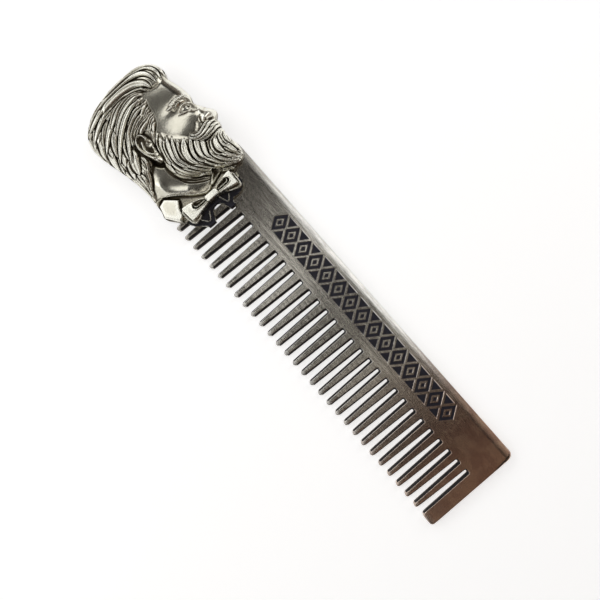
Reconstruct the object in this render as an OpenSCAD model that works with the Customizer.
// Beard comb: a flat stamped steel comb with a cast bust riveted to its head end.
// The comb lies flat. +X runs from the bust to the guard tooth, +Y is the side of the solid spine,
// +Z is the decorated face, and z = 0 is the flat back.

/* [Whole comb] */
// Length from the crown of the bust to the guard tooth
overall_length = 127; // [127:1:132]
// Width over the bust, which stands proud of the plate on both long edges
overall_width = 28.6; // [28.6:0.1:29.4]
// Width of the plate, from the spine's long edge to the tooth tips
plate_width = 24.6; // [24:0.1:25]
// How far the bust stands out past the spine's long edge
bust_overhang = 1.15; // [1:0.05:1.3]
// Thickness of the steel plate
plate_thickness = 2; // [1.8:0.1:2.2]
// Rounding of the spine's long edge on the decorated face
edge_round = 0.9; // [0.5:0.1:0.9]

/* [Teeth] */
// Distance from one tooth to the next
tooth_pitch = 3.03; // [2.95:0.01:3.05]
// Number of teeth, without the guard tooth
tooth_count = 29; // [29:1:29]
// Width of a tooth where it leaves the spine
tooth_root_width = 2.1; // [1.8:0.05:2.2]
// Width of a tooth just before its rounded tip
tooth_tip_width = 1.45; // [1.2:0.05:1.5]
// Height of the solid spine
spine_height = 10.2; // [9.9:0.1:10.2]
// Distance from the tail end to the middle of the last gap
guard_setback = 4.3; // [4.2:0.1:4.5]

/* [Ornament] */
// Number of lozenges in the engraved band
lozenge_count = 15; // [13:1:15]
// Distance from one lozenge to the next
lozenge_pitch = 4.2; // [4.1:0.05:4.2]
// Height of the engraved band
band_height = 5.25; // [4.5:0.05:5.5]
// Depth of the engraving
engraving_depth = 0.4; // [0.3:0.05:0.5]

/* [Bust] */
// Height of the bust above the plate's face
relief_height = 5; // [4.6:0.1:5.2]
// Radius of the two rivets that hold the bust
rivet_r = 1.25; // [1:0.05:1.4]

/* [Hidden] */
eps = 0.01;

// Places along the comb
head_end = -overall_length / 2;
tail_end = overall_length / 2;
last_gap = tail_end - guard_setback;
first_gap = last_gap - tooth_count * tooth_pitch;
gap_root_width = tooth_pitch - tooth_root_width;
tab_end = first_gap - gap_root_width / 2;
guard_root = tail_end - last_gap - gap_root_width / 2;

// Places across the comb
bust_front = overall_width / 2;
spine_edge = bust_front - bust_overhang;
root_line = spine_edge - spine_height;
tip_line = spine_edge - plate_width;
tooth_length = root_line - tip_line;

// The tab under the bust stays inside the bust's outline
tab_corner = 7;
tab_head_end = head_end + 2.6;
tab_foot_line = tip_line + 1.6;
tab_brow_line = spine_edge - 3.4;
tab_shoulder = first_gap - 4.3;

// Engraved band of lozenges and triangles
band_start = tab_end + 14.9;
band_line = spine_edge - 2.4 - band_height / 2;
lozenge_half = 1.85;
lozenge_inner = 0.6;
lozenge_heart = 0.24;
triangle_half = 1.28;
triangle_height = 1.82;
enamel_sink = 0.12;

// The bust is set out from its centre, with rings between its outline and the middle
bust_base = plate_thickness;
bust_wall = 1.1;
bust_centre = [-45.5, -0.6];
outline_steps = 4;
ring_steps = 20;
rivet_places = [[-51, -5], [-37.5, 3.5]];
rivet_head_r = rivet_r + 0.8;
rivet_head_height = 0.8;
rivet_length = plate_thickness + 1.8;

// Outline of the bust: forehead, quiff, crown, back of the hair, nape, collar, waistcoat, beard
// and a plain textbook profile
bust_outline = [
    [-53.2, 10.9], [-56.4, 10.2], [-58.4, 11], [-61.2, 9.2], [-63, 6.4], [head_end, 2.5],
    [-63.2, -2], [-62.6, -6.5], [-61.2, -10.2], [-58.6, -13.2], [-55.5, -bust_front],
    [-51.5, -14], [-47.5, -12.8], [-43.5, -11.8], [-39.5, -11.2], [-36.4, -11.3],
    [-33.5, -11.7], [-31, -11.9], [-28.8, -10.8], [-26.9, -9.3], [-25, -7.6], [-24, -4],
    [-23.8, 0], [-24, 3.6], [-25.3, 7], [-28.6, 8.6], [-30, 11.2], [-32.6, 12.7],
    [-36.4, 12.4], [-38.2, 12.4], [-39.6, 13], [-40.7, 13.1], [-41.6, bust_front],
    [-44.2, 13], [-47.2, 11.4], [-49.6, 11.6]
];

// Point on a smooth curve between b and c, with neighbours a and d
function smooth(a, b, c, d, t) =
    0.5 * (2 * b + (c - a) * t + (2 * a - 5 * b + 4 * c - d) * t * t
    + (3 * b - a - 3 * c + d) * t * t * t);

function closed_curve(points, steps) = let (n = len(points)) [
    for (i = [0 : n - 1], k = [0 : steps - 1])
        smooth(points[(i + n - 1) % n], points[i], points[(i + 1) % n], points[(i + 2) % n], k / steps)
];

// The curve overshoots its points a little, so it is held inside the bust's own limits
bust_curve = [
    for (p = closed_curve(bust_outline, outline_steps))
        [max(head_end, p[0]), max(-bust_front, min(bust_front, p[1]))]
];

function blend(low, high, v) = let (t = max(0, min(1, (v - low) / (high - low)))) t * t * (3 - 2 * t);

// The head stands high, and the neck and the waistcoat lie lower
function body_height(x) = relief_height * (0.42 + 0.43 * (1 - blend(-36, -29, x)));

// Hair behind the hairline and beard below the cheek stand proud of the skin, and run in locks
function hair_mask(x, y) = blend(0, 1.2, max(-55.5 - x, -0.62 * (x + 44) - y - 4));
function beard_mask(x, y) = blend(0, 1.2, min(x + 40, 0.75 * (x + 41.5) + y + 1.5)) * blend(-30, -32, x);
function locks(x, y) =
    hair_mask(x, y) * (0.45 + 0.3 * cos(360 * (y + 0.55 * x) / 2.6))
    + beard_mask(x, y) * (0.4 + 0.3 * cos(360 * (y - 0.35 * x) / 2.2));

function bust_top(p, s) = bust_base + bust_wall
    + (body_height(p[0]) - bust_wall) * sqrt(1 - pow(1 - s, 2.4)) + min(1, 6 * s) * locks(p[0], p[1]);

// Clear outline of a lozenge, and the marks that the band is made of
function lozenge(scale) = [
    for (a = [0 : 90 : 270]) scale * [lozenge_half * cos(a), band_height / 2 * sin(a)]
];

module lozenge_mark() {
    difference() {
        polygon(lozenge(1));
        polygon(lozenge(lozenge_inner));
    }
    polygon(lozenge(lozenge_heart));
}

module triangle_pair() {
    for (side = [-1, 1]) {
        polygon([
            [-triangle_half, side * band_height / 2],
            [triangle_half, side * band_height / 2],
            [0, side * (band_height / 2 - triangle_height)]
        ]);
    }
}

module ornament_band() {
    for (i = [0 : lozenge_count - 1]) {
        translate([band_start + (i + 0.5) * lozenge_pitch, band_line]) lozenge_mark();
    }
    for (i = [1 : lozenge_count - 1]) {
        translate([band_start + i * lozenge_pitch, band_line]) triangle_pair();
    }
}

// Section of the spine seen along the comb: rounded on its long edge, more on the front
function edge_arc(radius, y, z, from, to) = [
    for (i = [0 : 6]) let (a = from + (to - from) * i / 6) [y + radius * cos(a), z + radius * sin(a)]
];

module spine_section(low) {
    back_round = edge_round / 2;
    polygon(concat(
        [[low, 0]],
        edge_arc(back_round, spine_edge - back_round, back_round, -90, 0),
        edge_arc(edge_round, spine_edge - edge_round, plate_thickness - edge_round, 0, 90),
        [[low, plate_thickness]]
    ));
}

// Outline of the solid spine and its tab, with the tail's corner rounded
module spine_outline() {
    tail_round = 1.3;
    polygon(concat(
        [[tab_shoulder, spine_edge], [tab_shoulder - 3, spine_edge - 0.9], [tab_head_end + tab_corner, tab_brow_line]],
        [for (a = [120 : 30 : 180]) [
            tab_head_end + tab_corner * (1 + cos(a)),
            tab_brow_line - tab_corner * (1 - sin(a))
        ]],
        [for (a = [180 : 30 : 270]) [
            tab_head_end + tab_corner * (1 + cos(a)),
            tab_foot_line + tab_corner * (1 + sin(a))
        ]],
        [[tab_end - 1.5, tab_foot_line], [tab_end, tab_foot_line + 1.5], [tab_end, root_line], [tail_end, root_line]],
        [for (a = [0 : 15 : 90]) [
            tail_end - tail_round * (1 - cos(a)),
            spine_edge - tail_round * (1 - sin(a))
        ]]
    ));
}

// One straight-sided tooth with a rounded tip, drawn downwards from the root line
module tooth(root_width, tip_width, tip_round) {
    reach = tooth_length - tip_round;
    polygon(concat(
        [[root_width / 2, 0], [-root_width / 2, 0]],
        [for (a = [180 : 15 : 270]) [
            -tip_width / 2 + tip_round * (1 + cos(a)), -reach + tip_round * sin(a)
        ]],
        [for (a = [270 : 15 : 360]) [
            tip_width / 2 - tip_round * (1 - cos(a)), -reach + tip_round * sin(a)
        ]]
    ));
}

module rivet_holes() {
    for (place = rivet_places) {
        translate([place[0], place[1], -eps]) cylinder(h = plate_thickness + 2 * eps, r = rivet_r, $fn = 48);
        translate([place[0], place[1], -eps])
            cylinder(h = rivet_head_height + eps, r1 = rivet_head_r + eps, r2 = rivet_r, $fn = 48);
    }
}

// Spine and head tab of the stamped plate, engraved and drilled
module comb_spine() {
    color([0.5, 0.48, 0.44]) difference() {
        intersection() {
            linear_extrude(plate_thickness) spine_outline();
            translate([head_end, 0, 0]) rotate([90, 0, 90])
                linear_extrude(overall_length) spine_section(-overall_width);
        }
        translate([0, 0, plate_thickness - engraving_depth]) linear_extrude(engraving_depth + 1) ornament_band();
        rivet_holes();
    }
}

// The comb's teeth, each a solid of its own, so that the gaps stay open
module comb_teeth() {
    color([0.45, 0.43, 0.4]) for (k = [0 : tooth_count - 1]) {
        translate([first_gap + (k + 0.5) * tooth_pitch, root_line, 0])
            linear_extrude(plate_thickness) tooth(tooth_root_width, tooth_tip_width, tooth_tip_width / 2.4);
    }
}

// The broad plain tooth that guards the tail end
module guard_tooth() {
    tip_round = 0.8;
    guard_tip = guard_root - 0.3;
    color([0.42, 0.37, 0.33]) linear_extrude(plate_thickness) polygon(concat(
        [[tail_end, root_line], [tail_end - guard_root, root_line]],
        [for (a = [180 : 15 : 270]) [
            tail_end - guard_tip + tip_round * (1 + cos(a)), tip_line + tip_round * (1 + sin(a))
        ]],
        [for (a = [270 : 15 : 360]) [
            tail_end - tip_round * (1 - cos(a)), tip_line + tip_round * (1 + sin(a))
        ]]
    ));
}

// Domed head, neck and shoulders, as rings of points that rise from the outline to the middle
module bust_dome() {
    n = len(bust_curve);
    top_points = [
        for (r = [0 : ring_steps - 1]) let (s = pow(r / ring_steps, 1.6))
            for (c = bust_curve) let (p = c + (bust_centre - c) * s) [p[0], p[1], bust_top(p, s)]
    ];
    bottom_points = [for (c = bust_curve) [c[0], c[1], bust_base]];
    points = concat(bottom_points, top_points, [[bust_centre[0], bust_centre[1], bust_top(bust_centre, 1)]]);
    apex = n * (ring_steps + 1);
    polyhedron(points, concat(
        [[for (i = [0 : n - 1]) i]],
        [for (r = [0 : ring_steps - 1], i = [0 : n - 1])
            [r * n + i, (r + 1) * n + i, (r + 1) * n + (i + 1) % n]],
        [for (r = [0 : ring_steps - 1], i = [0 : n - 1])
            [r * n + i, (r + 1) * n + (i + 1) % n, r * n + (i + 1) % n]],
        [for (i = [0 : n - 1]) [ring_steps * n + i, apex, ring_steps * n + (i + 1) % n]]
    ));
}

// Ellipse as a polygon, for the ear's rim and its hollow
function ellipse(half_x, half_y) = [for (a = [0 : 15 : 345]) [half_x * cos(a), half_y * sin(a)]];

module ear() {
    translate([-45.2, -3.8, bust_base + 1]) rotate(4) {
        linear_extrude(relief_height - 1.3) polygon(ellipse(3.9, 2));
        linear_extrude(relief_height - 1) difference() {
            polygon(ellipse(4.1, 2.2));
            polygon(ellipse(3.1, 1.2));
        }
    }
}

// One wing of the bow tie, from the knot outwards, with its long slot
module bow_wing(side) {
    knot_half = 1.6;
    wing_end = 7.3;
    slot_half = 0.55;
    difference() {
        polygon([
            [-0.8, side * (knot_half - 0.4)], [0.8, side * (knot_half - 0.4)],
            [2.1, side * wing_end], [-2.1, side * wing_end]
        ]);
        translate([-slot_half, side > 0 ? knot_half + 0.5 : -wing_end + 1.3])
            square([2 * slot_half, wing_end - knot_half - 1.8]);
    }
}

bow_place = [-27, 0];

module bow_tie() {
    translate([bow_place[0], bow_place[1], bust_base + 0.5]) {
        for (side = [-1, 1]) {
            linear_extrude(relief_height - 1.5) bow_wing(side);
        }
        translate([-0.9, -1.7, 0]) cube([1.8, 3.4, relief_height - 1]);
    }
}

// Pointed flap of the shirt collar, below the tooth-side wing of the bow
module collar_flap() {
    translate([0, 0, bust_base + 0.3]) linear_extrude(relief_height - 2.4)
        polygon([[-33.4, -9.6], [-31.2, -7.3], [-27.6, -9.2], [-31, -11.6]]);
}

// Two square feet of the waistcoat that reach across the first open gap
module waistcoat_feet(grow) {
    for (y = [-4.4, 2]) {
        translate([-25.5 - grow, y - 0.85 - grow]) square([3.6 + 2 * grow, 1.7 + 2 * grow]);
    }
}

waistcoat_top = bust_base + 1.3;

module bust_casting() {
    color([0.62, 0.6, 0.55]) difference() {
        union() {
            bust_dome();
            ear();
            bow_tie();
            collar_flap();
            translate([0, 0, bust_base]) linear_extrude(waistcoat_top - bust_base) waistcoat_feet(0);
        }
        translate([0, 0, waistcoat_top - engraving_depth]) linear_extrude(1) waistcoat_feet(-0.3);
        for (place = rivet_places) {
            translate([place[0], place[1], bust_base - eps])
                cylinder(h = rivet_length - plate_thickness + eps, r = rivet_r, $fn = 48);
        }
    }
}

// Flush rivets, driven from the back into blind holes in the casting
module bust_rivets() {
    color("silver") for (place = rivet_places) {
        translate([place[0], place[1], 0]) {
            cylinder(h = rivet_length, r = rivet_r, $fn = 48);
            cylinder(h = rivet_head_height, r1 = rivet_head_r, r2 = rivet_r, $fn = 48);
        }
    }
}

module engraving_enamel() {
    color([0.09, 0.09, 0.12]) translate([0, 0, plate_thickness - engraving_depth])
        linear_extrude(engraving_depth - enamel_sink) ornament_band();
}

module waistcoat_enamel() {
    color([0.07, 0.07, 0.07]) translate([0, 0, waistcoat_top - engraving_depth])
        linear_extrude(engraving_depth - enamel_sink) intersection() {
            waistcoat_feet(-0.3);
            translate([-23.5, -8]) square([3, 16]);
        }
}

comb_spine();
comb_teeth();
guard_tooth();
bust_casting();
bust_rivets();
engraving_enamel();
waistcoat_enamel();
